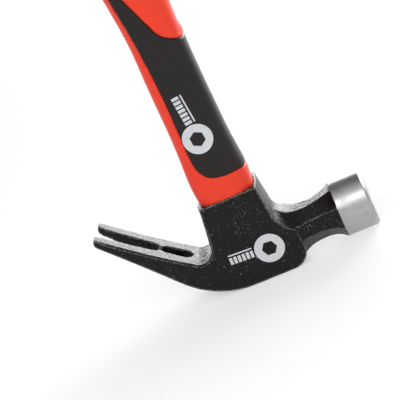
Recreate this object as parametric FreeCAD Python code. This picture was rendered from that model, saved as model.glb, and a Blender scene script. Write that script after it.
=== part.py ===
import FreeCAD, Part
import math
import os

# Claw hammer with a forged steel head and a two-material handle moulded round a glass-fibre rod.
# Millimetres. The handle runs up +Z from the head, and the striking face looks along +X.
# The origin is on the handle's centre line at the flat crown of the head, which is the underside.

V = FreeCAD.Vector

# ---- driving dimensions -------------------------------------------------------------------
FACE_X = 62.2               # striking face
BELL_AXIS_Z = 15.8          # height of the poll's centre line above the crown
BELL_RADIUS = 14.1
BELL_BACK_X = 45.0          # where the turned bell begins
BELL_CHAMFER = 1.6
BELL_SHOULDER = 0.6         # small turned shoulder at the back of the bell
BELL_ROOT = 2.0             # how far the bell's own solid runs back inside the neck
TURNING_REACH = 5.0         # how far behind the bell its turning also trims the neck

HEAD_HALF_WIDTH = 12.6      # centre plane to the cheeks
CHEEK_BEVEL = 1.0           # width of the bevel round the cheeks and tines
POLL_BAND_HALF = 5.0        # half width of the flat band down the poll side of the collar
MOUTH_Z = 47.0              # top of the collar
MOUTH_HALF_WIDTH = 11.5     # the cheeks draw in to this at the mouth
DRAW_IN_Z = 27.0            # where they start to draw in
CLAW_BEND_RADIUS = 44.0     # outer curve that turns the crown up into the claw
CLAW_BEND_ANGLE = 50.0

# Corners of the head's side outline. Where there are two points, the first is on the flat
# band down the middle of the poll side and the second is at the edge of the cheek.
MOUTH_POLL = ((14.4, MOUTH_Z), (13.8, MOUTH_Z))
BAND_END = ((15.9, 35.0), (15.4, 33.0))
CORNER_MIDDLE = ((18.2, 29.6), (17.2, 25.4))
NECK_START = ((24.4, 26.1), (22.9, 19.6))
CHEEK_FRONT = (24.2, 14.0)
CHEEK_LOW = (23.6, 6.0)
CROWN_TURN = (20.6, 2.0)
CROWN_FRONT = (14.5, 0.0)
CROWN_BACK = (-6.0, 0.0)
CLAW_TIP_OUTER = (-70.0, 50.3)
CLAW_TIP_INNER = (-68.8, 54.3)
CLAW_INNER_MIDDLE = (-47.4, 36.1)
CLAW_ROOT = (-28.0, 21.2)   # inner face, where the crotch fillet begins
CROTCH = (-21.4, 21.6)
HEEL = (-18.4, 27.5)
MOUTH_CLAW = ((-16.6, MOUTH_Z), (-15.0, MOUTH_Z))
CLAW_BACK_RISE = 0.3        # how far the claw's outer face bows in beyond the bend
TIP_ROUNDING = 0.7

SLOT_TILT = 44.0            # slope of the claw where the nail slot is cut square to it
SLOT_END = (-29.6, 23.4)    # closed end of the slot on the inner face
KEYHOLE_RADIUS = 4.3
KEYHOLE_LENGTH = 16.0
KEYHOLE_TAPER = 0.4         # how much narrower each side is where the shoulders begin
SHOULDER_LENGTH = 1.6       # the shoulders that close the keyhole down to the throat
THROAT_HALF = 2.3
THROAT_LENGTH = 1.2
VEE_ROUND_AT = 3.0          # past the keyhole, a point on the vee's rounded inner end
VEE_ROUND_IN = 0.7          # how far that point lies inside the vee's side
VEE_STRAIGHT_AT = 6.0       # past the keyhole, where the vee's sides run straight
SLOT_HALF = 4.7             # half width of the vee there
SLOT_LENGTH = 46.0          # to where the tips begin to flare
SLOT_MOUTH_HALF = 5.6       # half width of the vee there
SLOT_RUNOUT = 14.0          # the cut goes on this far, clear of the tips
SLOT_FLARE = 4.0            # and widens this much on each side
SLOT_ABOVE = 2.0            # the cut starts this far above the claw, well below the collar

# The eye through the head: height, claw-side edge, poll-side edge, half width.
SOCKET_DEPTH = 6.0          # how far the handle jacket enters the collar
EYE_STATIONS = [
    (0.0, -11.6, 11.2, 9.2),
    (16.0, -10.6, 10.0, 8.0),
    (MOUTH_Z - SOCKET_DEPTH, -11.6, 10.8, 8.8),
]
SOCKET_FLARE = 0.15         # the socket is this much wider at the mouth

CORE_HALF_X = 8.5           # glass-fibre rod
CORE_HALF_Y = 6.2
CORE_BOTTOM_Z = 2.0
CORE_TOP_Z = 296.0
CORE_POWER = 2.4            # squareness of the rod's section, as for the handle below
EPOXY_BOTTOM_Z = 0.15

SOFT_THICKNESS = 1.8        # black soft layer let into the red jacket
TONGUE_INSET = 0.5          # how far the red tongue's tip lies below the soft layer
TONGUE_LOW_Z = 125.0
TONGUE_HIGH_Z = 150.0
RIB_COUNT = 15
RIB_PITCH = 6.4
RIB_WIDTH = 2.4
RIB_DEPTH = 0.9
RIB_START_Z = 203.0
RIB_SLOPE = 16.0            # degrees
RIB_PIVOT_X = -15.0         # each groove slopes about its lower edge at this x
RIB_REACH = 12.0            # how far each groove is cut either way from there
HANG_HOLE_RADIUS = 4.0
HANG_HOLE_Z = 312.0
HANG_HOLE_X = 1.0

SECTION_POINTS = 24
SECTION_POWER = 2.9         # 2 is an ellipse, higher is squarer

# The octagonal neck's facets: distance along the poll, distance from its centre line.
NECK_TOP = [(18.5, 13.0), (21.9, 11.2), (25.6, 9.9), (31.0, 9.4), (36.0, 9.9), (41.5, 11.4),
            (45.0, 12.9), (49.0, 15.0)]
NECK_UNDERSIDE = [(18.5, 14.9), (22.4, 13.5), (25.0, 12.2), (29.0, 10.8), (34.0, 10.1),
                  (38.4, 10.0), (42.3, 11.0), (45.0, 12.8), (49.0, 15.2)]
NECK_SIDE = [(18.5, 11.4), (21.5, 12.1), (23.6, 12.0), (26.0, 11.1), (29.7, 10.0), (34.0, 9.7),
             (38.0, 9.9), (42.0, 11.2), (45.0, 12.8), (49.0, 15.2)]
NECK_SLANT = [(18.5, 12.8), (23.5, 11.5), (26.0, 10.5), (29.7, 9.9), (34.0, 9.7), (38.0, 10.1),
              (42.0, 11.4), (45.0, 13.1), (49.0, 15.4)]

# Edges of the black layer in the side view. It wraps the poll side below the grip and the
# claw side of the grip itself, and a narrow band down each cheek joins the two.
SOFT_LOW_EDGE = [(15.2, 56.6), (9.6, 57.7), (2.0, 58.2), (-4.0, 60.0), (-7.4, 64.0), (-8.6, 71.0),
                 (-8.0, 88.0), (-7.6, 112.0), (-8.6, 136.0), (-10.4, 158.0), (-11.6, 174.0),
                 (-14.2, 184.0), (-19.0, 188.0)]
SOFT_HIGH_EDGE = [(-24.0, 299.0), (-14.0, 301.0), (-5.0, 298.0), (0.6, 286.0), (2.4, 262.0),
                  (1.4, 230.0), (-2.0, 200.0), (-6.4, 178.0), (-7.0, 164.0), (-4.2, 152.0),
                  (0.6, 138.6), (4.0, 131.0), (9.4, 126.9), (16.0, 125.4)]

# Handle sections: height, claw-side edge, poll-side edge, half thickness.
HANDLE_SECTIONS = [
    (41.0, -15.0, 13.3, 10.7),
    (50.0, -15.5, 13.5, 10.9),
    (58.0, -15.7, 13.8, 11.0),
    (70.0, -14.8, 13.1, 10.6),
    (90.0, -13.7, 12.8, 10.3),
    (112.0, -13.1, 12.9, 10.2),
    (132.0, -12.9, 13.5, 10.5),
    (160.0, -14.0, 14.9, 11.3),
    (195.0, -15.2, 16.4, 12.7),
    (235.0, -15.8, 16.6, 13.2),
    (272.0, -15.4, 15.4, 12.6),
    (296.0, -17.0, 15.4, 12.5),
    (314.0, -19.6, 16.6, 13.0),
    (323.0, -19.6, 16.4, 12.6),
    (328.0, -17.4, 14.4, 10.6),
    (330.0, -13.0, 10.4, 7.0),
]

CLEAR = 30.0                # further out than any side of the hammer
THROUGH = 2.0 * CLEAR       # long enough to pass right through it


# ---- helpers ------------------------------------------------------------------------------
def line(a, b):
    return Part.LineSegment(a, b).toShape()


def arc(a, middle, b):
    return Part.Arc(a, middle, b).toShape()


def at(point, y):
    """A point of the side view, placed in the plane of that y."""
    return V(point[0], y, point[1])


def between(a, b, share):
    """The point that lies share of the way from a to b."""
    return (a[0] + (b[0] - a[0]) * share, a[1] + (b[1] - a[1]) * share)


def smooth(points):
    """An open smooth curve through points of the side view, in the centre plane."""
    curve = Part.BSplineCurve()
    curve.interpolate([at(point, 0) for point in points])
    return curve.toShape()


def extrude(edges, direction):
    return Part.Face(Part.Wire(edges)).extrude(direction)


def section(z, left, right, half_y, inset=0.0, power=SECTION_POWER):
    """A closed rounded-rectangle section of the handle, shrunk by inset."""
    centre = (left + right) / 2.0
    half_x = (right - left) / 2.0 - inset
    half_y = half_y - inset
    points = []
    for i in range(SECTION_POINTS):
        angle = 2.0 * math.pi * (i + 0.5) / SECTION_POINTS
        c = math.cos(angle)
        s = math.sin(angle)
        x = math.copysign(abs(c) ** (2.0 / power), c) * half_x
        y = math.copysign(abs(s) ** (2.0 / power), s) * half_y
        points.append(V(centre + x, y, z))
    curve = Part.BSplineCurve()
    curve.interpolate(points, PeriodicFlag=True)
    return Part.Wire([curve.toShape()])


def handle_form(inset, tongue_inset=0.0):
    """The handle's form shrunk by inset, and by tongue_inset round the tongue's tip."""
    wires = []
    for z, left, right, half_y in HANDLE_SECTIONS:
        at_tip = tongue_inset if TONGUE_LOW_Z < z < TONGUE_HIGH_Z else 0.0
        wires.append(section(z, left, right, half_y, inset + at_tip))
    return Part.makeLoft(wires, True, False)


# ---- head ---------------------------------------------------------------------------------
def head_outline(y, bevel, facet):
    """Side outline of cheeks and claw in the plane y.

    bevel pulls the edge inward all round. facet moves the poll-side corner from the
    neck's top band (0) to the edge of the cheek (1).
    """
    def mix(pair):
        return between(pair[0], pair[1], facet)

    def pulled(point, x, z):
        """The point moved by x and z for each millimetre of bevel."""
        return (point[0] + x * bevel, point[1] + z * bevel)

    def on_bend(degrees):
        """A point of the outer bend, so many degrees round from the crown."""
        turned = math.radians(degrees)
        reach = CLAW_BEND_RADIUS - bevel
        return (CROWN_BACK[0] - reach * math.sin(turned), CLAW_BEND_RADIUS - reach * math.cos(turned))

    mouth_poll = pulled(mix(MOUTH_POLL), -0.4, 0.0)
    band_end = mix(BAND_END)
    corner_middle = mix(CORNER_MIDDLE)
    neck_start = mix(NECK_START)
    cheek_front = pulled(CHEEK_FRONT, -0.4, 0.0)
    cheek_low = pulled(CHEEK_LOW, -0.5, 0.0)
    crown_turn = pulled(CROWN_TURN, -0.6, 0.5)
    crown_front = pulled(CROWN_FRONT, 0.0, 0.7)
    crown_back = pulled(CROWN_BACK, 0.0, 1.0)
    bend_end = on_bend(CLAW_BEND_ANGLE)
    tip_outer = pulled(CLAW_TIP_OUTER, 2.6, -1.9)
    tip_inner = pulled(CLAW_TIP_INNER, 3.0, -3.6)
    inner_middle = pulled(CLAW_INNER_MIDDLE, -0.2, -0.8)
    root = pulled(CLAW_ROOT, 0.0, -0.7)
    crotch = pulled(CROTCH, 0.3, -0.4)
    heel = pulled(HEEL, 0.7, 0.0)
    mouth_claw = pulled(mix(MOUTH_CLAW), 1.0, 0.0)
    back_x, back_z = between(bend_end, tip_outer, 0.5)
    back_middle = (back_x, back_z + CLAW_BACK_RISE)
    nose_x, nose_z = between(tip_outer, tip_inner, 0.5)
    tip_nose = (nose_x - TIP_ROUNDING, nose_z + 0.1)
    return Part.Wire([
        line(at(mouth_claw, y), at(mouth_poll, y)),
        line(at(mouth_poll, y), at(band_end, y)),
        arc(at(band_end, y), at(corner_middle, y), at(neck_start, y)),
        line(at(neck_start, y), at(cheek_front, y)),
        line(at(cheek_front, y), at(cheek_low, y)),
        arc(at(cheek_low, y), at(crown_turn, y), at(crown_front, y)),
        line(at(crown_front, y), at(crown_back, y)),
        arc(at(crown_back, y), at(on_bend(CLAW_BEND_ANGLE / 2.0), y), at(bend_end, y)),
        arc(at(bend_end, y), at(back_middle, y), at(tip_outer, y)),
        arc(at(tip_outer, y), at(tip_nose, y), at(tip_inner, y)),
        arc(at(tip_inner, y), at(inner_middle, y), at(root, y)),
        arc(at(root, y), at(crotch, y), at(heel, y)),
        line(at(heel, y), at(mouth_claw, y)),
    ])


def cheeks_and_claw():
    edge = HEAD_HALF_WIDTH
    shoulder = HEAD_HALF_WIDTH - CHEEK_BEVEL
    wires = [
        head_outline(-edge, CHEEK_BEVEL, 1.0),
        head_outline(-shoulder, 0.0, 0.9),
        head_outline(-POLL_BAND_HALF, 0.0, 0.0),
        head_outline(POLL_BAND_HALF, 0.0, 0.0),
        head_outline(shoulder, 0.0, 0.9),
        head_outline(edge, CHEEK_BEVEL, 1.0),
    ]
    return Part.makeLoft(wires, True, True)


def neck_bar(high_side, low_side, turn):
    """A bar along X with a waisted top and underside, turned about the poll axis."""
    low_side = [(x, -reach) for x, reach in low_side]
    edges = [
        smooth(high_side),
        line(at(high_side[-1], 0), at(low_side[-1], 0)),
        smooth(low_side),
        line(at(low_side[0], 0), at(high_side[0], 0)),
    ]
    bar = extrude(Part.__sortEdges__(edges), V(0, THROUGH, 0))
    bar.translate(V(0, -CLEAR, 0))
    bar.rotate(V(0, 0, 0), V(1, 0, 0), turn)
    bar.translate(V(0, 0, BELL_AXIS_Z))
    return bar


def bell():
    """The turned bell: shoulder, cylinder and chamfered face."""
    profile = [
        (BELL_BACK_X - BELL_ROOT, 0.0),
        (BELL_BACK_X - BELL_ROOT, BELL_RADIUS - BELL_SHOULDER - BELL_CHAMFER),
        (BELL_BACK_X, BELL_RADIUS - BELL_SHOULDER),
        (BELL_BACK_X + BELL_SHOULDER, BELL_RADIUS),
        (FACE_X - BELL_CHAMFER, BELL_RADIUS),
        (FACE_X, BELL_RADIUS - BELL_CHAMFER),
        (FACE_X, 0.0),
    ]
    points = [V(x, 0, BELL_AXIS_Z + r) for x, r in profile]
    face = Part.Face(Part.makePolygon(points + points[:1]))
    return face.revolve(V(0, 0, BELL_AXIS_Z), V(1, 0, 0), 360)


def poll():
    """Octagonal neck, trimmed by the turning of the bell, and the bell itself."""
    neck = neck_bar(NECK_TOP, NECK_UNDERSIDE, 0)
    neck = neck.common(neck_bar(NECK_SIDE, NECK_SIDE, 90))
    for turn in (45, 135):
        neck = neck.common(neck_bar(NECK_SLANT, NECK_SLANT, turn))
    start = BELL_BACK_X - TURNING_REACH
    turned = Part.makeCylinder(BELL_RADIUS, FACE_X - start, V(start, 0, BELL_AXIS_Z), V(1, 0, 0))
    rough = Part.makeBox(start, THROUGH, THROUGH, V(0, -CLEAR, BELL_AXIS_Z - CLEAR))
    trimmed = neck.common(turned).fuse(neck.common(rough))
    limit = Part.makeBox(BELL_BACK_X + BELL_SHOULDER, THROUGH, THROUGH,
                         V(0, -CLEAR, BELL_AXIS_Z - CLEAR))
    return trimmed.common(limit).fuse(bell())


def nail_slot():
    """Vee, throat and keyhole, cut square through the claw."""
    tilt = math.radians(SLOT_TILT)
    along = V(-math.cos(tilt), 0, math.sin(tilt))
    through = V(math.sin(tilt), 0, math.cos(tilt))
    end = V(SLOT_END[0], 0, SLOT_END[1])

    def spot(distance, y):
        return end + along * distance + V(0, y, 0) - through * CLEAR

    shoulder_at = KEYHOLE_LENGTH - SHOULDER_LENGTH
    throat_end = KEYHOLE_LENGTH + THROAT_LENGTH
    straight_at = KEYHOLE_LENGTH + VEE_STRAIGHT_AT
    runout = SLOT_LENGTH + SLOT_RUNOUT
    closed_end = arc(spot(KEYHOLE_RADIUS, -KEYHOLE_RADIUS), spot(0, 0),
                     spot(KEYHOLE_RADIUS, KEYHOLE_RADIUS))
    open_end = line(spot(runout, SLOT_MOUTH_HALF + SLOT_FLARE),
                    spot(runout, -SLOT_MOUTH_HALF - SLOT_FLARE))
    side = [
        line(spot(KEYHOLE_RADIUS, KEYHOLE_RADIUS), spot(shoulder_at, KEYHOLE_RADIUS - KEYHOLE_TAPER)),
        line(spot(shoulder_at, KEYHOLE_RADIUS - KEYHOLE_TAPER), spot(KEYHOLE_LENGTH, THROAT_HALF)),
        line(spot(KEYHOLE_LENGTH, THROAT_HALF), spot(throat_end, THROAT_HALF)),
        arc(spot(throat_end, THROAT_HALF),
            spot(KEYHOLE_LENGTH + VEE_ROUND_AT, SLOT_HALF - VEE_ROUND_IN),
            spot(straight_at, SLOT_HALF)),
        line(spot(straight_at, SLOT_HALF), spot(SLOT_LENGTH, SLOT_MOUTH_HALF)),
        line(spot(SLOT_LENGTH, SLOT_MOUTH_HALF), spot(runout, SLOT_MOUTH_HALF + SLOT_FLARE)),
    ]
    other_side = [edge.mirror(V(0, 0, 0), V(0, 1, 0)) for edge in side]
    edges = Part.__sortEdges__([closed_end, open_end] + side + other_side)
    return extrude(edges, through * (CLEAR + SLOT_ABOVE))


def eye():
    """The tapered hole through the head, with a socket for the jacket at its mouth."""
    wires = [section(z, left, right, half) for z, left, right, half in EYE_STATIONS]
    return Part.makeLoft(wires, True, True)


def socket():
    """Where the jacket's lower end sits in the collar."""
    z, left, right, half = HANDLE_SECTIONS[0]
    mouth = section(MOUTH_Z, left - SOCKET_FLARE, right + SOCKET_FLARE, half)
    wires = [section(z, left, right, half), mouth]
    return Part.makeLoft(wires, True, True)


def draw_in_cuts():
    """What comes off the cheeks above DRAW_IN_Z, leaving them curved in to the mouth."""
    top = MOUTH_Z + 1.0
    depth = HEAD_HALF_WIDTH - MOUTH_HALF_WIDTH
    cuts = []
    for side in (-1, 1):
        start = V(-CLEAR, side * HEAD_HALF_WIDTH, DRAW_IN_Z)
        middle = V(-CLEAR, side * (HEAD_HALF_WIDTH - depth * 0.25), (DRAW_IN_Z + top) / 2.0)
        end = V(-CLEAR, side * MOUTH_HALF_WIDTH, top)
        outer = V(-CLEAR, side * CLEAR, top)
        edges = [arc(start, middle, end), line(end, outer), line(outer, start)]
        cuts.append(extrude(edges, V(THROUGH, 0, 0)))
    return Part.makeCompound(cuts)


def head():
    solid = cheeks_and_claw().fuse(poll())
    solid = solid.cut(draw_in_cuts())
    solid = solid.cut(nail_slot())
    solid = solid.cut(eye())
    solid = solid.cut(socket())
    return solid.removeSplitter()


# ---- handle -------------------------------------------------------------------------------
def core():
    """Glass-fibre rod from the eye to near the butt."""
    wire = section(CORE_BOTTOM_Z, -CORE_HALF_X, CORE_HALF_X, CORE_HALF_Y, 0.0, CORE_POWER)
    return Part.Face(wire).extrude(V(0, 0, CORE_TOP_Z - CORE_BOTTOM_Z))


def epoxy(rod):
    """Resin that fills the eye round the rod."""
    trim = Part.makeBox(THROUGH, THROUGH, EPOXY_BOTTOM_Z, V(-CLEAR, -CLEAR, 0))
    return eye().cut(trim).cut(rod)


def soft_region():
    """The black layer's side outline, cut right through the handle."""
    beyond = V(CLEAR, 0, 0)
    poll_low = at(SOFT_LOW_EDGE[0], 0)
    claw_low = at(SOFT_LOW_EDGE[-1], 0)
    claw_high = at(SOFT_HIGH_EDGE[0], 0)
    poll_high = at(SOFT_HIGH_EDGE[-1], 0)
    edges = [
        smooth(SOFT_LOW_EDGE),
        line(claw_low, claw_low - beyond),
        line(claw_low - beyond, V(claw_low.x - CLEAR, 0, claw_high.z)),
        line(V(claw_low.x - CLEAR, 0, claw_high.z), claw_high),
        smooth(SOFT_HIGH_EDGE),
        line(poll_high, poll_high + beyond),
        line(poll_high + beyond, V(poll_high.x + CLEAR, 0, poll_low.z)),
        line(V(poll_high.x + CLEAR, 0, poll_low.z), poll_low),
    ]
    region = extrude(edges, V(0, THROUGH, 0))
    region.translate(V(0, -CLEAR, 0))
    return region


def hang_hole():
    return Part.makeCylinder(HANG_HOLE_RADIUS, THROUGH, V(HANG_HOLE_X, -CLEAR, HANG_HOLE_Z),
                             V(0, 1, 0))


def rib_grooves():
    """Shallow grooves across the claw side of the soft grip."""
    grooves = []
    for i in range(RIB_COUNT):
        z = RIB_START_Z + i * RIB_PITCH
        box = Part.makeBox(2.0 * RIB_REACH, THROUGH, RIB_WIDTH,
                           V(RIB_PIVOT_X - RIB_REACH, -CLEAR, z))
        box.rotate(V(RIB_PIVOT_X, 0, z), V(0, 1, 0), -RIB_SLOPE)
        grooves.append(box)
    return Part.makeCompound(grooves).cut(handle_form(RIB_DEPTH))


def handle(rod):
    """The red jacket and the black layer let into it."""
    recess = soft_region().cut(handle_form(SOFT_THICKNESS))
    soft = handle_form(0.0).common(recess).cut(rib_grooves())
    jacket = handle_form(0.0, TONGUE_INSET).cut(recess).cut(rod).cut(hang_hole())
    return jacket, soft


def save(name, shape):
    print(name, "volume %.0f" % shape.Volume, "valid", shape.isValid(), "solids", len(shape.Solids))
    shape.exportStep("parts/" + name + ".step")


os.makedirs("parts", exist_ok=True)
rod = core()
jacket, soft = handle(rod)
save("head", head())
save("fibreglass_core", rod)
save("eye_epoxy", epoxy(rod))
save("handle_jacket", jacket)
save("soft_grip", soft)
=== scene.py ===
import math

import bmesh
import bpy
import numpy as np
from mathutils import Matrix, Vector, noise
from mathutils.bvhtree import BVHTree


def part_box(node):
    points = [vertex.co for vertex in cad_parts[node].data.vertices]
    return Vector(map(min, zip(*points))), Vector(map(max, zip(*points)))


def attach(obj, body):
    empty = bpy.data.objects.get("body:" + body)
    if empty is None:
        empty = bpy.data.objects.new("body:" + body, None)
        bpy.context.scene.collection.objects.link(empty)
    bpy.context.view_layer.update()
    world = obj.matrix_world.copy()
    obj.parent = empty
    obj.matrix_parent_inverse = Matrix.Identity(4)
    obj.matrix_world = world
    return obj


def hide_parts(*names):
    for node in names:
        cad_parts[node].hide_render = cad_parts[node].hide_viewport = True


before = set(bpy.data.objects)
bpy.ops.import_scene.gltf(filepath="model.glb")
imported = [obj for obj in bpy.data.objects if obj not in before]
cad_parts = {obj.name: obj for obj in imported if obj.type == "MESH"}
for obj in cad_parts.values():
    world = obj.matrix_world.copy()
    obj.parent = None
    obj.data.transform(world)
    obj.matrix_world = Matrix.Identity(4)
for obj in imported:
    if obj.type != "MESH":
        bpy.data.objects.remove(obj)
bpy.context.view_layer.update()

# Claw hammer: a painted forging with a ground bell, and a red handle with a soft black layer.
# The forging, the bell, the shell, the soft layer and the two prints are meshes worked here.
# The epoxy and the glass-fibre core are the CAD nodes with better materials.

MM = 0.001

# ---- sizes, in metres ---------------------------------------------------------------------
HEAD_VOXEL = 0.45 * MM
HANDLE_VOXEL = 0.6 * MM
SNAP_NEAR = 0.05 * MM       # closer to the CAD surface than this: moved onto its true curve
SNAP_FAR = 0.14 * MM        # further than this: a rounded edge, left alone
CURVE_SHARE = 0.75          # how much of the curve that the corner normals imply is taken
WELD = 0.001 * MM           # points closer than this are one point

POLL_AXIS_Z = 15.8 * MM
BELL_RADIUS = 14.1 * MM
BELL_SPLIT_X = 50.0 * MM    # the forging goes on this far inside the bell
BELL_SUNK = 0.5 * MM        # how far the forging lies below the bell's skin
BELL_SEGMENTS = 240
NECK_END_X = 40.0 * MM      # the bell's back edge lies beyond this everywhere
EDGE_STEP = 0.1 * MM        # how finely the back edge is searched for
EDGE_SLACK = 0.12 * MM      # the forging counts as bell-sized this far below the bell's radius
RAY_REACH = 30.0 * MM       # outside the bell, measured from the poll's axis
BELL_INNER_X = 47.0 * MM    # the bell's hidden end, inside the forging
SIDE_RINGS = 25
SIDE_START = 0.28 * MM      # where the straight side starts, in front of the back edge
SIDE_END = 1.75 * MM        # where it ends, behind the face
FACE_RINGS = 16
FACE_INNERMOST = 0.06       # the innermost ring, as a share of the face's radius
FACE_CROWN = 0.35 * MM      # how far the middle of the face stands out
FACE_EDGE_RADIUS = 12.5 * MM
# The rounded back edge as (in front of the edge, below the bell's radius), and the rounded
# striking edge as (behind the face, below the bell's radius), in millimetres.
BACK_ROUNDING = ((0.9, 1.9), (0.3, 0.75), (0.0, 0.3), (0.08, 0.08), (0.28, 0.0))
FACE_ROUNDING = ((1.66, 0.02), (1.56, 0.1), (1.4, 0.25), (1.0, 0.65), (0.6, 1.05),
                 (0.47, 1.2), (0.39, 1.35), (0.36, 1.48))

GRAIN_SIZE = 1.5 * MM       # the forged skin's small bumps
GRAIN_DEPTH = 0.085 * MM
WAVE_SIZE = 5.5 * MM        # and its slow waves
WAVE_DEPTH = 0.06 * MM
EDGE_ROUNDS = 5             # averaging that finds the edges where paint is worn
WORN_FROM = 0.03 * MM       # an edge standing out less than this keeps its paint
WORN_FULLY = 0.09 * MM

BORE_MARGIN = 0.08 * MM     # faces this close to the rod's box belong to its hole

PRINT_THICKNESS = 0.05 * MM
PRINT_LIFT = 0.02 * MM      # how far in front of the surface the film's back lies
PRINT_STEP = 0.55 * MM      # spacing of the points that follow the surface below
PRINT_GAP = 0.8 * MM
PRINT_RAY_Y = -50.0 * MM    # in front of the hammer, where the rays to its surface start
DISC_POINTS = 96
HEXAGON_SHARE = 0.52        # the hexagonal hole, as a share of the disc's radius
BLOCK_WIDTH = 1.5 * MM
BLOCK_PITCH = 2.15 * MM
BLOCK_HALF_HEIGHT = 1.8 * MM
BAR_LOW = -3.4 * MM
BAR_HIGH = -2.7 * MM
HEAD_PRINT_PLACE = (7.9 * MM, 15.7 * MM)
HEAD_PRINT_HEADING = math.radians(177.0)
HEAD_DISC_RADIUS = 7.5 * MM
HEAD_BLOCKS = 6
HANDLE_PRINT_PLACE = (-0.9 * MM, 79.7 * MM)
HANDLE_PRINT_HEADING = math.radians(94.0)
HANDLE_DISC_RADIUS = 7.4 * MM
HANDLE_BLOCKS = 7

# ---- camera and stage ---------------------------------------------------------------------
HANDLE_LEAN = math.radians(25.0)      # the camera sees the handle leaning left
CAMERA_TURN = math.radians(-1.7)
CAMERA_HEIGHT = math.radians(20.5)
CAMERA_DISTANCE = 0.5
CAMERA_LENS = 90.0
SENSOR_WIDTH = 36.0
AIM = Vector((1.0, 0.0, 13.4)) * MM   # what the offsets below are measured from
AIM_LEFT = 28.9 * MM
AIM_UP = 23.55 * MM
ROOM_FRONT = 0.62           # brightness of each part of the room, white paper being 1
ROOM_BACK = 0.18
ROOM_SWEEP = 7.2            # the bright sweep low behind the hammer
FLOOR_TONE = 0.5
FLOOR_GLOW = 0.46           # the floor is a light table, so it stays evenly white
FLOOR_HALF = 6.0
FLOOR_DROP = 0.02 * MM      # the floor lies this far below the hammer
LIGHT_AIM = (0.0, 0.0, 0.06)
# Each light's name, place in the room, width, height and power.
LIGHTS = (
    ("key", (-0.42, -0.84, 0.66), 0.9, 0.34, 4.8),    # the bright band along the bell
    ("right", (0.70, -0.80, 0.12), 0.16, 0.5, 1.8),
)


# ---- mesh tools ---------------------------------------------------------------------------
def read_points(mesh):
    flat = np.empty(len(mesh.vertices) * 3, dtype=np.float32)
    mesh.vertices.foreach_get("co", flat)
    return flat.reshape(-1, 3).astype(np.float64)


def write_points(mesh, points):
    mesh.vertices.foreach_set("co", points.astype(np.float32).ravel())
    mesh.update()


def read_normals(mesh):
    flat = np.empty(len(mesh.vertices) * 3, dtype=np.float32)
    mesh.vertex_normals.foreach_get("vector", flat)
    return flat.reshape(-1, 3).astype(np.float64)


def read_edges(mesh):
    flat = np.empty(len(mesh.edges) * 2, dtype=np.int32)
    mesh.edges.foreach_get("vertices", flat)
    return flat.reshape(-1, 2)


def averaged(points, edges, step):
    """Each point moved by step of the way to the middle of its neighbours."""
    count = len(points)
    first, second = edges[:, 0], edges[:, 1]
    valence = np.bincount(edges.ravel(), minlength=count)
    moved = np.empty_like(points)
    for axis in range(3):
        along = points[:, axis]
        total = np.bincount(first, along[second], count) + np.bincount(second, along[first], count)
        moved[:, axis] = along + step * (total / valence - along)
    return moved


def smoothed(points, edges, rounds):
    """Smoothing that keeps the volume: each round shrinks a little and swells back."""
    for _ in range(rounds):
        points = averaged(points, edges, 0.5)
        points = averaged(points, edges, -0.52)
    return points


def ease(value, low, high):
    """0 at low, 1 at high, smooth between. low may be the larger."""
    t = np.clip((value - low) / (high - low), 0.0, 1.0)
    return t * t * (3.0 - 2.0 * t)


def even_mesh(mesh, voxel):
    """The same closed shape in even quads of about the voxel's size."""
    carrier = bpy.data.objects.new("carrier", mesh)
    bpy.context.scene.collection.objects.link(carrier)
    remesh = carrier.modifiers.new("even", "REMESH")
    remesh.mode = "VOXEL"
    remesh.voxel_size = voxel
    shaped = carrier.evaluated_get(bpy.context.evaluated_depsgraph_get())
    result = bpy.data.meshes.new_from_object(shaped)
    bpy.data.objects.remove(carrier)
    return result


class Skin:
    """A CAD mesh read as the curved surface that its corner normals describe."""

    def __init__(self, mesh):
        self.points = read_points(mesh)
        mesh.calc_loop_triangles()
        count = len(mesh.loop_triangles)
        corners = np.empty(count * 3, dtype=np.int32)
        mesh.loop_triangles.foreach_get("vertices", corners)
        loops = np.empty(count * 3, dtype=np.int32)
        mesh.loop_triangles.foreach_get("loops", loops)
        normals = np.empty(len(mesh.loops) * 3, dtype=np.float32)
        mesh.corner_normals.foreach_get("vector", normals)
        self.corners = corners.reshape(-1, 3)
        self.normals = normals.reshape(-1, 3)[loops.reshape(-1, 3)].astype(np.float64)
        self.tree = BVHTree.FromPolygons(self.points.tolist(), self.corners.tolist())

    def nearest(self, points):
        """The nearest points on the curved surface, and how far off the flat triangles are."""
        spots = np.empty_like(points)
        faces = np.empty(len(points), dtype=np.int32)
        gaps = np.empty(len(points))
        for i, point in enumerate(points.tolist()):
            spot, _, face, gap = self.tree.find_nearest(point)
            spots[i] = spot
            faces[i] = face
            gaps[i] = gap
        a, b, c = (self.points[self.corners[faces, k]] for k in range(3))
        across = np.cross(b - a, c - a)
        area = np.maximum((across * across).sum(1), 1e-24)
        weight_b = (np.cross(spots - a, c - a) * across).sum(1) / area
        weight_c = (np.cross(b - a, spots - a) * across).sum(1) / area
        weights = np.stack([1.0 - weight_b - weight_c, weight_b, weight_c], 1)
        curved = np.zeros_like(points)
        for k, corner in enumerate((a, b, c)):
            normal = self.normals[faces, k]
            height = ((spots - corner) * normal).sum(1)
            curved += weights[:, k:k + 1] * (spots - height[:, None] * normal)
        return spots + CURVE_SHARE * (curved - spots), gaps


def worked_mesh(source, voxel, rounds):
    """An even, smooth mesh of a CAD mesh, with rounded edges and true curved faces."""
    skin = Skin(source)
    mesh = even_mesh(source, voxel)
    edges = read_edges(mesh)
    points = smoothed(read_points(mesh), edges, rounds)
    spots, gaps = skin.nearest(points)
    on_face = ease(gaps, SNAP_FAR, SNAP_NEAR)[:, None]
    points += on_face * (spots - points)
    points = smoothed(points, edges, 2)
    write_points(mesh, points)
    mesh.shade_smooth()
    return mesh


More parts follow.
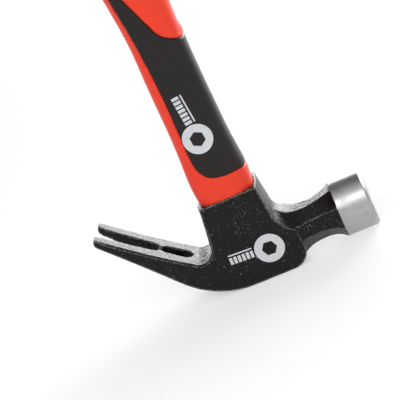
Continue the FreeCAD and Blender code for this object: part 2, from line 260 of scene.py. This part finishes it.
def add_piece(name, mesh, slot, finish, *nodes):
    """A visible piece that rides on the hammer and stands for the CAD nodes given."""
    piece = bpy.data.objects.new(name, mesh)
    bpy.context.scene.collection.objects.link(piece)
    mesh.materials.clear()
    mesh.materials.append(finish)
    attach(piece, "root")
    if nodes:
        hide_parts(*nodes)


def store(mesh, name, values):
    """Keeps one number per vertex, which a material can read."""
    layer = mesh.attributes.new(name, "FLOAT", "POINT")
    layer.data.foreach_set("value", values.astype(np.float32))


# ---- materials ----------------------------------------------------------------------------
def new_finish(name, **sockets):
    finish = bpy.data.materials.new(name)
    finish.use_nodes = True
    shader = finish.node_tree.nodes["Principled BSDF"]
    for socket, value in sockets.items():
        shader.inputs[socket.replace("_", " ")].default_value = value
    return finish, finish.node_tree, shader


def spot_on_piece(tree, turn=(0.0, 0.0, 0.0), stretch=(1.0, 1.0, 1.0), start=(0.0, 0.0, 0.0)):
    """Where a point is on the hammer, in millimetres, turned and then stretched."""
    where = tree.nodes.new("ShaderNodeTexCoord")
    turned = tree.nodes.new("ShaderNodeMapping")
    turned.vector_type = "TEXTURE"
    turned.inputs["Location"].default_value = [MM * value for value in start]
    turned.inputs["Rotation"].default_value = turn
    tree.links.new(where.outputs["Object"], turned.inputs["Vector"])
    scaled = tree.nodes.new("ShaderNodeMapping")
    scaled.inputs["Scale"].default_value = [value / MM for value in stretch]
    tree.links.new(turned.outputs["Vector"], scaled.inputs["Vector"])
    return scaled.outputs["Vector"]


def grain(tree, size, detail=2.0, where=None, rough=0.5):
    """Noise between 0 and 1 whose features are about size millimetres across."""
    made = tree.nodes.new("ShaderNodeTexNoise")
    made.inputs["Scale"].default_value = 1.0 / size
    made.inputs["Detail"].default_value = detail
    made.inputs["Roughness"].default_value = rough
    tree.links.new(where or spot_on_piece(tree), made.inputs["Vector"])
    return made.outputs["Fac"]


def spread(tree, value, low, high, to_low=0.0, to_high=1.0):
    """value from low..high taken to to_low..to_high, smooth at both ends."""
    made = tree.nodes.new("ShaderNodeMapRange")
    made.interpolation_type = "SMOOTHSTEP"
    for socket, number in (("From Min", low), ("From Max", high),
                           ("To Min", to_low), ("To Max", to_high)):
        made.inputs[socket].default_value = number
    tree.links.new(value, made.inputs["Value"])
    return made.outputs["Result"]


def combine(tree, operation, first, second):
    """Two values, or a value and a number, through one math operation."""
    made = tree.nodes.new("ShaderNodeMath")
    made.operation = operation
    for socket, value in zip(made.inputs, (first, second)):
        if isinstance(value, (int, float)):
            socket.default_value = value
        else:
            tree.links.new(value, socket)
    return made.outputs["Value"]


def mixed(tree, factor, first, second):
    """Two colours mixed by factor. Each is a colour or another node's output."""
    made = tree.nodes.new("ShaderNodeMix")
    made.data_type = "RGBA"
    tree.links.new(factor, made.inputs["Factor"])
    for socket, colour in ((made.inputs[6], first), (made.inputs[7], second)):
        if isinstance(colour, tuple):
            socket.default_value = (*colour, 1.0)
        else:
            tree.links.new(colour, socket)
    return made.outputs[2]


def bumped(tree, height, strength, distance, below=None):
    """A normal from a height, distance being the height's size in millimetres."""
    made = tree.nodes.new("ShaderNodeBump")
    made.inputs["Strength"].default_value = strength
    made.inputs["Distance"].default_value = distance * MM
    tree.links.new(height, made.inputs["Height"])
    if below is not None:
        tree.links.new(below, made.inputs["Normal"])
    return made.outputs["Normal"]


def forged_paint():
    """Black semi-gloss paint over a rough forging, rubbed grey along its edges."""
    finish, tree, shader = new_finish("forged_paint", Specular_IOR_Level=0.22)
    tone = mixed(tree, grain(tree, 3.5, 4.0), (0.0015, 0.0015, 0.0017), (0.0040, 0.0039, 0.0038))
    # Edge wear, broken up by noise.
    edge = tree.nodes.new("ShaderNodeAttribute")
    edge.attribute_name = "edge"
    patchy = spread(tree, grain(tree, 1.4, 4.0, rough=0.7), 0.36, 0.62)
    rubbed = combine(tree, "MULTIPLY", edge.outputs["Fac"], patchy)
    tone = mixed(tree, combine(tree, "MULTIPLY", rubbed, 0.7), tone, (0.22, 0.22, 0.21))
    # Dust and chips: small pale specks, gathered in places.
    fine_speck = spread(tree, grain(tree, 0.42, 1.0), 0.705, 0.75)
    large_speck = spread(tree, grain(tree, 1.0, 2.0), 0.71, 0.74)
    crowd = spread(tree, grain(tree, 9.0, 2.0), 0.42, 0.66, 0.2, 1.0)
    speck = combine(tree, "MULTIPLY", combine(tree, "MAXIMUM", fine_speck, large_speck), crowd)
    tone = mixed(tree, combine(tree, "MULTIPLY", speck, 0.9), tone, (0.55, 0.54, 0.52))
    # Hairline scratches: thin stretched noise, kept only where a second noise is high.
    slanted = spot_on_piece(tree, (0.3, 0.7, 0.4), (0.12, 1.0, 1.0))
    hair = spread(tree, grain(tree, 0.5, 2.0, slanted), 0.735, 0.76)
    hair = combine(tree, "MULTIPLY", hair, spread(tree, grain(tree, 6.0, 1.0), 0.5, 0.6))
    tone = mixed(tree, combine(tree, "MULTIPLY", hair, 0.5), tone, (0.30, 0.30, 0.29))
    tree.links.new(tone, shader.inputs["Base Color"])
    rough = spread(tree, grain(tree, 1.1, 4.0, rough=0.65), 0.3, 0.7, 0.22, 0.42)
    tree.links.new(rough, shader.inputs["Roughness"])
    fine = bumped(tree, grain(tree, 0.7, 4.0, rough=0.7), 0.7, 0.13)
    tree.links.new(bumped(tree, speck, 0.4, 0.05, fine), shader.inputs["Normal"])
    return finish


def ground_steel():
    """Bare steel turned and ground round the poll's axis, with fine rings."""
    finish, tree, shader = new_finish("ground_steel", Metallic=1.0, Anisotropic=0.55)
    around = tree.nodes.new("ShaderNodeTangent")
    around.direction_type = "RADIAL"
    around.axis = "X"
    tree.links.new(around.outputs["Tangent"], shader.inputs["Tangent"])
    # Distance from the axis and place along it, so that rings run round the side and the face.
    from_axis = spot_on_piece(tree, stretch=(0.0, 1.0, 1.0), start=(0.0, 0.0, POLL_AXIS_Z / MM))
    length = tree.nodes.new("ShaderNodeVectorMath")
    length.operation = "LENGTH"
    tree.links.new(from_axis, length.inputs[0])
    split = tree.nodes.new("ShaderNodeSeparateXYZ")
    tree.links.new(spot_on_piece(tree), split.inputs["Vector"])
    ring_spot = tree.nodes.new("ShaderNodeCombineXYZ")
    tree.links.new(split.outputs["X"], ring_spot.inputs["X"])
    tree.links.new(length.outputs["Value"], ring_spot.inputs["Y"])
    rings = grain(tree, 0.22, 3.0, ring_spot.outputs["Vector"], 0.7)
    clouds = grain(tree, 5.0, 3.0)
    tone = mixed(tree, spread(tree, rings, 0.3, 0.7), (0.37, 0.37, 0.37), (0.50, 0.50, 0.495))
    tone = mixed(tree, spread(tree, clouds, 0.45, 0.7, 0.0, 0.35), tone, (0.32, 0.32, 0.315))
    tree.links.new(tone, shader.inputs["Base Color"])
    rough = combine(tree, "ADD", spread(tree, rings, 0.3, 0.7, 0.0, 0.09),
                    spread(tree, clouds, 0.3, 0.7, 0.25, 0.34))
    tree.links.new(rough, shader.inputs["Roughness"])
    tree.links.new(bumped(tree, rings, 0.35, 0.02), shader.inputs["Normal"])
    return finish


def moulded_red():
    """Hard red plastic with a fine satin moulded grain."""
    finish, tree, shader = new_finish("moulded_red", Specular_IOR_Level=0.32)
    tone = mixed(tree, grain(tree, 12.0, 3.0), (0.79, 0.040, 0.012), (0.74, 0.035, 0.010))
    scuff = spread(tree, grain(tree, 1.6, 4.0, rough=0.7), 0.66, 0.78, 0.0, 0.25)
    tone = mixed(tree, scuff, tone, (0.86, 0.12, 0.09))
    tree.links.new(tone, shader.inputs["Base Color"])
    rough = spread(tree, grain(tree, 2.4, 4.0), 0.3, 0.7, 0.33, 0.43)
    tree.links.new(rough, shader.inputs["Roughness"])
    tree.links.new(bumped(tree, grain(tree, 0.35, 3.0), 0.25, 0.03), shader.inputs["Normal"])
    return finish


def soft_black():
    """Soft black rubber with a matt pebbled skin and a little lint."""
    finish, tree, shader = new_finish(
        "soft_black", Specular_IOR_Level=0.24, Sheen_Weight=0.02, Sheen_Roughness=0.4)
    tone = mixed(tree, grain(tree, 14.0, 3.0), (0.0105, 0.0085, 0.0082), (0.0150, 0.0125, 0.012))
    lint = spread(tree, grain(tree, 0.5, 1.0), 0.735, 0.77)
    crowd = spread(tree, grain(tree, 11.0, 2.0), 0.5, 0.64)
    lint = combine(tree, "MULTIPLY", lint, crowd)
    tone = mixed(tree, combine(tree, "MULTIPLY", lint, 0.5), tone, (0.22, 0.21, 0.2))
    tree.links.new(tone, shader.inputs["Base Color"])
    rough = spread(tree, grain(tree, 3.0, 4.0), 0.3, 0.7, 0.34, 0.44)
    tree.links.new(rough, shader.inputs["Roughness"])
    tree.links.new(bumped(tree, grain(tree, 0.45, 2.0), 0.4, 0.05), shader.inputs["Normal"])
    return finish


def white_ink():
    """Pad-printed white ink, a little thin in places."""
    finish, tree, shader = new_finish("white_ink", Specular_IOR_Level=0.4)
    tone = mixed(tree, spread(tree, grain(tree, 0.5, 4.0, rough=0.7), 0.5, 0.75),
                 (0.58, 0.595, 0.615), (0.38, 0.39, 0.41))
    tree.links.new(tone, shader.inputs["Base Color"])
    tree.links.new(spread(tree, grain(tree, 1.2, 3.0), 0.3, 0.7, 0.42, 0.6),
                   shader.inputs["Roughness"])
    return finish


def set_resin():
    """Amber epoxy, cloudy, with small bubbles."""
    finish, tree, shader = new_finish("set_resin", Specular_IOR_Level=0.5)
    tone = mixed(tree, grain(tree, 2.5, 4.0), (0.15, 0.085, 0.028), (0.26, 0.16, 0.06))
    bubble = spread(tree, grain(tree, 0.6, 1.0), 0.68, 0.74)
    tone = mixed(tree, bubble, tone, (0.05, 0.03, 0.012))
    tree.links.new(tone, shader.inputs["Base Color"])
    tree.links.new(spread(tree, grain(tree, 1.5, 3.0), 0.3, 0.7, 0.25, 0.45),
                   shader.inputs["Roughness"])
    tree.links.new(bumped(tree, bubble, -0.5, 0.1), shader.inputs["Normal"])
    return finish


def glass_fibre():
    """Amber resin with glass strands along the rod."""
    finish, tree, shader = new_finish("glass_fibre", Specular_IOR_Level=0.5)
    along = spot_on_piece(tree, stretch=(1.0, 1.0, 0.03))
    strands = grain(tree, 0.35, 3.0, along, 0.7)
    tone = mixed(tree, spread(tree, strands, 0.3, 0.7), (0.52, 0.42, 0.22), (0.75, 0.68, 0.46))
    tree.links.new(tone, shader.inputs["Base Color"])
    tree.links.new(spread(tree, strands, 0.3, 0.7, 0.3, 0.5), shader.inputs["Roughness"])
    tree.links.new(bumped(tree, strands, 0.4, 0.04), shader.inputs["Normal"])
    return finish


# ---- head ---------------------------------------------------------------------------------
def from_poll_axis(points):
    return np.hypot(points[:, 1], points[:, 2] - POLL_AXIS_Z)


def bell_back_edge(skin):
    """For each direction round the poll, the x where the forging reaches the bell's radius."""
    reached = BELL_RADIUS - EDGE_SLACK
    edge = np.empty(BELL_SEGMENTS)
    for i in range(BELL_SEGMENTS):
        angle = 2.0 * math.pi * i / BELL_SEGMENTS
        outward = Vector((0.0, math.cos(angle), math.sin(angle)))
        x = NECK_END_X
        while x < BELL_SPLIT_X:
            outside = Vector((x, 0.0, POLL_AXIS_Z)) + outward * RAY_REACH
            hit = skin.tree.ray_cast(outside, -outward)[0]
            if hit is not None and RAY_REACH - (hit - outside).length > reached:
                break
            x += EDGE_STEP
        edge[i] = x
    for _ in range(3):
        edge = (edge + np.roll(edge, 1) + np.roll(edge, -1)) / 3.0
    return edge


def forging(back_edge):
    """The painted forging, rough skinned, sunk below the bell where the bell covers it."""
    mesh = worked_mesh(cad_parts["head"].data, HEAD_VOXEL, 5)
    shape = bmesh.new()
    shape.from_mesh(mesh)
    everything = shape.verts[:] + shape.edges[:] + shape.faces[:]
    cut = bmesh.ops.bisect_plane(shape, geom=everything, plane_co=(BELL_SPLIT_X, 0, 0),
                                 plane_no=(1, 0, 0), clear_outer=True)
    rim = [item for item in cut["geom_cut"] if isinstance(item, bmesh.types.BMEdge)]
    bmesh.ops.holes_fill(shape, edges=rim)
    shape.to_mesh(mesh)
    shape.free()
    mesh.shade_smooth()

    points = read_points(mesh)
    edges = read_edges(mesh)
    normals = read_normals(mesh)
    bulge = ((points - smoothed_flat(points, edges, EDGE_ROUNDS)) * normals).sum(1)
    store(mesh, "edge", ease(bulge, WORN_FROM, WORN_FULLY))

    radius = from_poll_axis(points)
    angle = np.arctan2(points[:, 2] - POLL_AXIS_Z, points[:, 1]) % (2.0 * math.pi)
    turn = angle / (2.0 * math.pi) * BELL_SEGMENTS
    edge_x = np.interp(turn, np.arange(BELL_SEGMENTS + 1), np.append(back_edge, back_edge[0]))
    covered = ease(points[:, 0] - edge_x, -0.1 * MM, 0.5 * MM)
    covered[points[:, 0] < NECK_END_X] = 0.0
    limit = BELL_RADIUS - BELL_SUNK * covered
    shrink = np.where(covered > 0.0, np.minimum(1.0, limit / np.maximum(radius, 1e-6)), 1.0)
    points[:, 1] *= shrink
    points[:, 2] = POLL_AXIS_Z + (points[:, 2] - POLL_AXIS_Z) * shrink

    rough = np.empty(len(points))
    for i, point in enumerate(points.tolist()):
        spot = Vector(point)
        rough[i] = (GRAIN_DEPTH * noise.noise(spot / GRAIN_SIZE)
                    + WAVE_DEPTH * noise.noise(spot / WAVE_SIZE))
    points += normals * (rough * (1.0 - covered))[:, None]
    write_points(mesh, points)
    return mesh


def smoothed_flat(points, edges, rounds):
    """Plain averaging, which pulls raised edges in. Used to find them."""
    for _ in range(rounds):
        points = averaged(points, edges, 0.5)
    return points


def bell(back_edge):
    """The turned bell as rings from its scalloped back edge to the middle of its face."""
    face_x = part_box("head")[1][0]
    rings = []
    for forward, sunk in BACK_ROUNDING:
        rings.append((back_edge + forward * MM, BELL_RADIUS - sunk * MM))
    side_start = back_edge + SIDE_START
    side_end = face_x - SIDE_END
    for share in np.linspace(0.0, 1.0, SIDE_RINGS + 1)[1:]:
        rings.append((side_start + share * (side_end - side_start), BELL_RADIUS))
    for back, sunk in FACE_ROUNDING:
        rings.append((np.full(BELL_SEGMENTS, face_x - back * MM), BELL_RADIUS - sunk * MM))
    for share in np.linspace(1.0, FACE_INNERMOST, FACE_RINGS):
        crown = FACE_CROWN * (1.0 - share * share)
        x = face_x - FACE_CROWN + crown
        rings.append((np.full(BELL_SEGMENTS, x), FACE_EDGE_RADIUS * share))

    shape = bmesh.new()
    loops = []
    for x_values, radius in rings:
        loop = []
        for i in range(BELL_SEGMENTS):
            angle = 2.0 * math.pi * i / BELL_SEGMENTS
            spot = (x_values[i], radius * math.cos(angle), POLL_AXIS_Z + radius * math.sin(angle))
            loop.append(shape.verts.new(spot))
        loops.append(loop)
    for near, far in zip(loops, loops[1:]):
        for i in range(BELL_SEGMENTS):
            k = (i + 1) % BELL_SEGMENTS
            shape.faces.new((near[i], near[k], far[k], far[i]))
    for loop, x in ((loops[0], BELL_INNER_X), (loops[-1], face_x)):
        middle = shape.verts.new((x, 0.0, POLL_AXIS_Z))
        for i in range(BELL_SEGMENTS):
            shape.faces.new((loop[i], loop[(i + 1) % BELL_SEGMENTS], middle))
    bmesh.ops.recalc_face_normals(shape, faces=shape.faces[:])
    mesh = bpy.data.meshes.new("bell")
    shape.to_mesh(mesh)
    shape.free()
    mesh.shade_smooth()
    return mesh


# ---- handle -------------------------------------------------------------------------------
def without_bore(mesh):
    """The jacket's mesh with the rod's hole closed up, since nothing of it shows."""
    solid = mesh.copy()
    core_low, core_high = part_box("fibreglass_core")
    shape = bmesh.new()
    shape.from_mesh(solid)
    bmesh.ops.remove_doubles(shape, verts=shape.verts[:], dist=WELD)
    inner = []
    for face in shape.faces:
        if all(core_low[0] - BORE_MARGIN < v.co.x < core_high[0] + BORE_MARGIN
               and core_low[1] - BORE_MARGIN < v.co.y < core_high[1] + BORE_MARGIN
               and v.co.z < core_high[2] + BORE_MARGIN for v in face.verts):
            inner.append(face)
    bmesh.ops.delete(shape, geom=inner, context="FACES")
    rim = [edge for edge in shape.edges if edge.is_boundary]
    bmesh.ops.holes_fill(shape, edges=rim)
    shape.to_mesh(solid)
    shape.free()
    return solid


# ---- prints -------------------------------------------------------------------------------
def disc_grid(radius, hole):
    """A disc round the origin with a hexagonal hole, as rings of points."""
    steps = max(2, int((radius - hole) / PRINT_STEP))
    rings = []
    for k in range(steps + 1):
        share = k / steps
        ring = []
        for i in range(DISC_POINTS + 1):
            angle = 2.0 * math.pi * i / DISC_POINTS
            side = (angle % (math.pi / 3.0)) - math.pi / 6.0
            hexagon = hole * math.cos(math.pi / 6.0) / math.cos(side)
            reach = hexagon + (radius - hexagon) * share
            ring.append((reach * math.cos(angle), reach * math.sin(angle)))
        rings.append(ring)
    return rings


def block_grid(left, right, low, high):
    """A plain rectangle as rows of points."""
    across = max(1, int((right - left) / PRINT_STEP))
    up = max(1, int((high - low) / PRINT_STEP))
    rows = []
    for j in range(up + 1):
        y = low + (high - low) * j / up
        rows.append([(left + (right - left) * i / across, y) for i in range(across + 1)])
    return rows


def surface_of(mesh):
    """A mesh ready for rays."""
    mesh.calc_loop_triangles()
    triangles = [tuple(triangle.vertices) for triangle in mesh.loop_triangles]
    return BVHTree.FromPolygons(read_points(mesh).tolist(), triangles)


def laid_on(surfaces, x, z):
    """The first point that a ray along +y meets at that x and z."""
    outside = Vector((x, PRINT_RAY_Y, z))
    hits = [surface.ray_cast(outside, Vector((0.0, 1.0, 0.0)))[0] for surface in surfaces]
    return min((hit for hit in hits if hit is not None), key=lambda hit: hit.y)


def printed_mark(name, centre, heading, disc_radius, block_count, surfaces):
    """A disc with a hexagonal hole and a row of plain blocks over a thin bar.

    centre is the disc's centre in the side view, and heading the way the row runs.
    """
    grids = [disc_grid(disc_radius, disc_radius * HEXAGON_SHARE)]
    start = disc_radius + PRINT_GAP
    for i in range(block_count):
        left = start + i * BLOCK_PITCH
        grids.append(block_grid(left, left + BLOCK_WIDTH, -BLOCK_HALF_HEIGHT, BLOCK_HALF_HEIGHT))
    bar_end = start + (block_count - 1) * BLOCK_PITCH + BLOCK_WIDTH
    grids.append(block_grid(start, bar_end, BAR_LOW, BAR_HIGH))
    forward = Vector((math.cos(heading), 0.0, math.sin(heading)))
    sideways = Vector((-math.sin(heading), 0.0, math.cos(heading)))
    origin = Vector((centre[0], 0.0, centre[1]))
    clear = Vector((0.0, -PRINT_LIFT, 0.0))

    shape = bmesh.new()
    for grid in grids:
        rows = []
        for row in grid:
            points = []
            for u, v in row:
                flat = origin + forward * u + sideways * v
                points.append(shape.verts.new(laid_on(surfaces, flat.x, flat.z) + clear))
            rows.append(points)
        for low, high in zip(rows, rows[1:]):
            for i in range(len(low) - 1):
                shape.faces.new((low[i], low[i + 1], high[i + 1], high[i]))
    bmesh.ops.remove_doubles(shape, verts=shape.verts[:], dist=WELD)
    bmesh.ops.recalc_face_normals(shape, faces=shape.faces[:])
    if sum(face.normal.y for face in shape.faces) > 0.0:
        bmesh.ops.reverse_faces(shape, faces=shape.faces[:])
    film = bmesh.ops.extrude_face_region(shape, geom=shape.faces[:], use_keep_orig=True)
    for item in film["geom"]:
        if isinstance(item, bmesh.types.BMVert):
            item.co.y -= PRINT_THICKNESS
    bmesh.ops.recalc_face_normals(shape, faces=shape.faces[:])
    mesh = bpy.data.meshes.new(name)
    shape.to_mesh(mesh)
    shape.free()
    return mesh


# ---- the pieces ---------------------------------------------------------------------------
def build_pieces():
    paint = forged_paint()
    skin = Skin(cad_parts["head"].data)
    back_edge = bell_back_edge(skin)
    head_mesh = forging(back_edge)
    add_piece("head_forging", head_mesh, "forged_steel_black", paint, "head")
    add_piece("head_bell", bell(back_edge), "ground_steel", ground_steel(), "head")

    jacket = without_bore(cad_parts["handle_jacket"].data)
    jacket_mesh = worked_mesh(jacket, HANDLE_VOXEL, 4)
    add_piece("handle_shell", jacket_mesh, "red_jacket", moulded_red(), "handle_jacket")
    soft_mesh = worked_mesh(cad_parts["soft_grip"].data, HANDLE_VOXEL, 4)
    add_piece("grip_layer", soft_mesh, "black_soft", soft_black(), "soft_grip")

    ink = white_ink()
    on_head = printed_mark("head_print", HEAD_PRINT_PLACE, HEAD_PRINT_HEADING, HEAD_DISC_RADIUS,
                           HEAD_BLOCKS, [surface_of(head_mesh)])
    add_piece("head_print", on_head, "print_white", ink)
    on_handle = printed_mark("handle_print", HANDLE_PRINT_PLACE, HANDLE_PRINT_HEADING,
                             HANDLE_DISC_RADIUS, HANDLE_BLOCKS,
                             [surface_of(soft_mesh), surface_of(jacket_mesh)])
    add_piece("handle_print", on_handle, "print_white", ink)

    for node, finish in (("eye_epoxy", set_resin()), ("fibreglass_core", glass_fibre())):
        for material_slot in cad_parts[node].material_slots:
            material_slot.material = finish


# ---- stage --------------------------------------------------------------------------------
def room_to_part(vector):
    """From the room, with z up and the camera looking along +y, to the hammer's frame."""
    x, y, z = vector
    c, s = math.cos(HANDLE_LEAN), math.sin(HANDLE_LEAN)
    return Vector((c * x + s * z, y, -s * x + c * z))


def build_camera():
    toward = Vector((-math.sin(CAMERA_TURN) * math.cos(CAMERA_HEIGHT),
                     -math.cos(CAMERA_TURN) * math.cos(CAMERA_HEIGHT),
                     math.sin(CAMERA_HEIGHT)))
    right = Vector((math.cos(CAMERA_TURN), -math.sin(CAMERA_TURN), 0.0))
    up = toward.cross(right)
    place = toward * CAMERA_DISTANCE - right * AIM_LEFT + up * AIM_UP
    data = bpy.data.cameras.new("camera")
    data.sensor_width = SENSOR_WIDTH
    data.lens = CAMERA_LENS
    camera = bpy.data.objects.new("camera", data)
    axes = [room_to_part(axis) for axis in (right, up, toward)]
    camera.matrix_world = (Matrix.Translation(room_to_part(place) + AIM)
                           @ Matrix(axes).transposed().to_4x4())
    bpy.context.scene.collection.objects.link(camera)
    bpy.context.scene.camera = camera


def add_softbox(name, place, aim, width, height, power):
    """A soft rectangular light, placed in the room and turned to the point aimed at."""
    data = bpy.data.lights.new(name, "AREA")
    data.shape = "RECTANGLE"
    data.size = width
    data.size_y = height
    data.energy = power
    light = bpy.data.objects.new(name, data)
    spot = room_to_part(place)
    light.location = spot
    light.rotation_mode = "QUATERNION"
    light.rotation_quaternion = (room_to_part(aim) - spot).to_track_quat("-Z", "Y")
    bpy.context.scene.collection.objects.link(light)


def build_stage():
    world = bpy.data.worlds.new("studio")
    world.use_nodes = True
    tree = world.node_tree
    background = tree.nodes["Background"]
    background.inputs["Color"].default_value = (1.0, 1.0, 1.0, 1.0)
    bpy.context.scene.world = world
    # A bright white sweep low behind the hammer, and a room that is dimmer behind than in
    # front. Seen directly, it is all plain white.
    where = tree.nodes.new("ShaderNodeTexCoord")
    level = tree.nodes.new("ShaderNodeMapping")
    level.inputs["Rotation"].default_value = (0.0, HANDLE_LEAN, 0.0)
    tree.links.new(where.outputs["Generated"], level.inputs["Vector"])
    split = tree.nodes.new("ShaderNodeSeparateXYZ")
    tree.links.new(level.outputs["Vector"], split.inputs["Vector"])
    behind = spread(tree, split.outputs["Y"], 0.2, 0.6)
    low_down = spread(tree, split.outputs["Z"], 0.22, 0.42, ROOM_SWEEP, 0.0)
    sweep = combine(tree, "MULTIPLY", behind, low_down)
    walls = spread(tree, split.outputs["Y"], -0.1, 0.2, ROOM_FRONT, ROOM_BACK)
    room = combine(tree, "ADD", walls, sweep)
    seen = tree.nodes.new("ShaderNodeLightPath")
    direct = combine(tree, "SUBTRACT", 1.0, room)
    direct = combine(tree, "MULTIPLY", direct, seen.outputs["Is Camera Ray"])
    tree.links.new(combine(tree, "ADD", room, direct), background.inputs["Strength"])

    floor = bpy.data.meshes.new("floor")
    corners = [(x * FLOOR_HALF, y * FLOOR_HALF, 0.0) for x, y in ((-1, -1), (1, -1), (1, 1), (-1, 1))]
    floor.from_pydata(corners, [], [(0, 1, 2, 3)])
    paper, tree, shader = new_finish("paper", Roughness=0.8)
    shader.inputs["Base Color"].default_value = (FLOOR_TONE, FLOOR_TONE, FLOOR_TONE, 1.0)
    shader.inputs["Emission Color"].default_value = (1.0, 1.0, 1.0, 1.0)
    shader.inputs["Emission Strength"].default_value = FLOOR_GLOW
    floor.materials.append(paper)
    ground = bpy.data.objects.new("floor", floor)
    ground.location.z = -FLOOR_DROP
    bpy.context.scene.collection.objects.link(ground)

    for name, place, width, height, power in LIGHTS:
        add_softbox(name, place, LIGHT_AIM, width, height, power)
    bpy.context.scene.view_settings.view_transform = "Standard"


build_pieces()
build_camera()
build_stage()
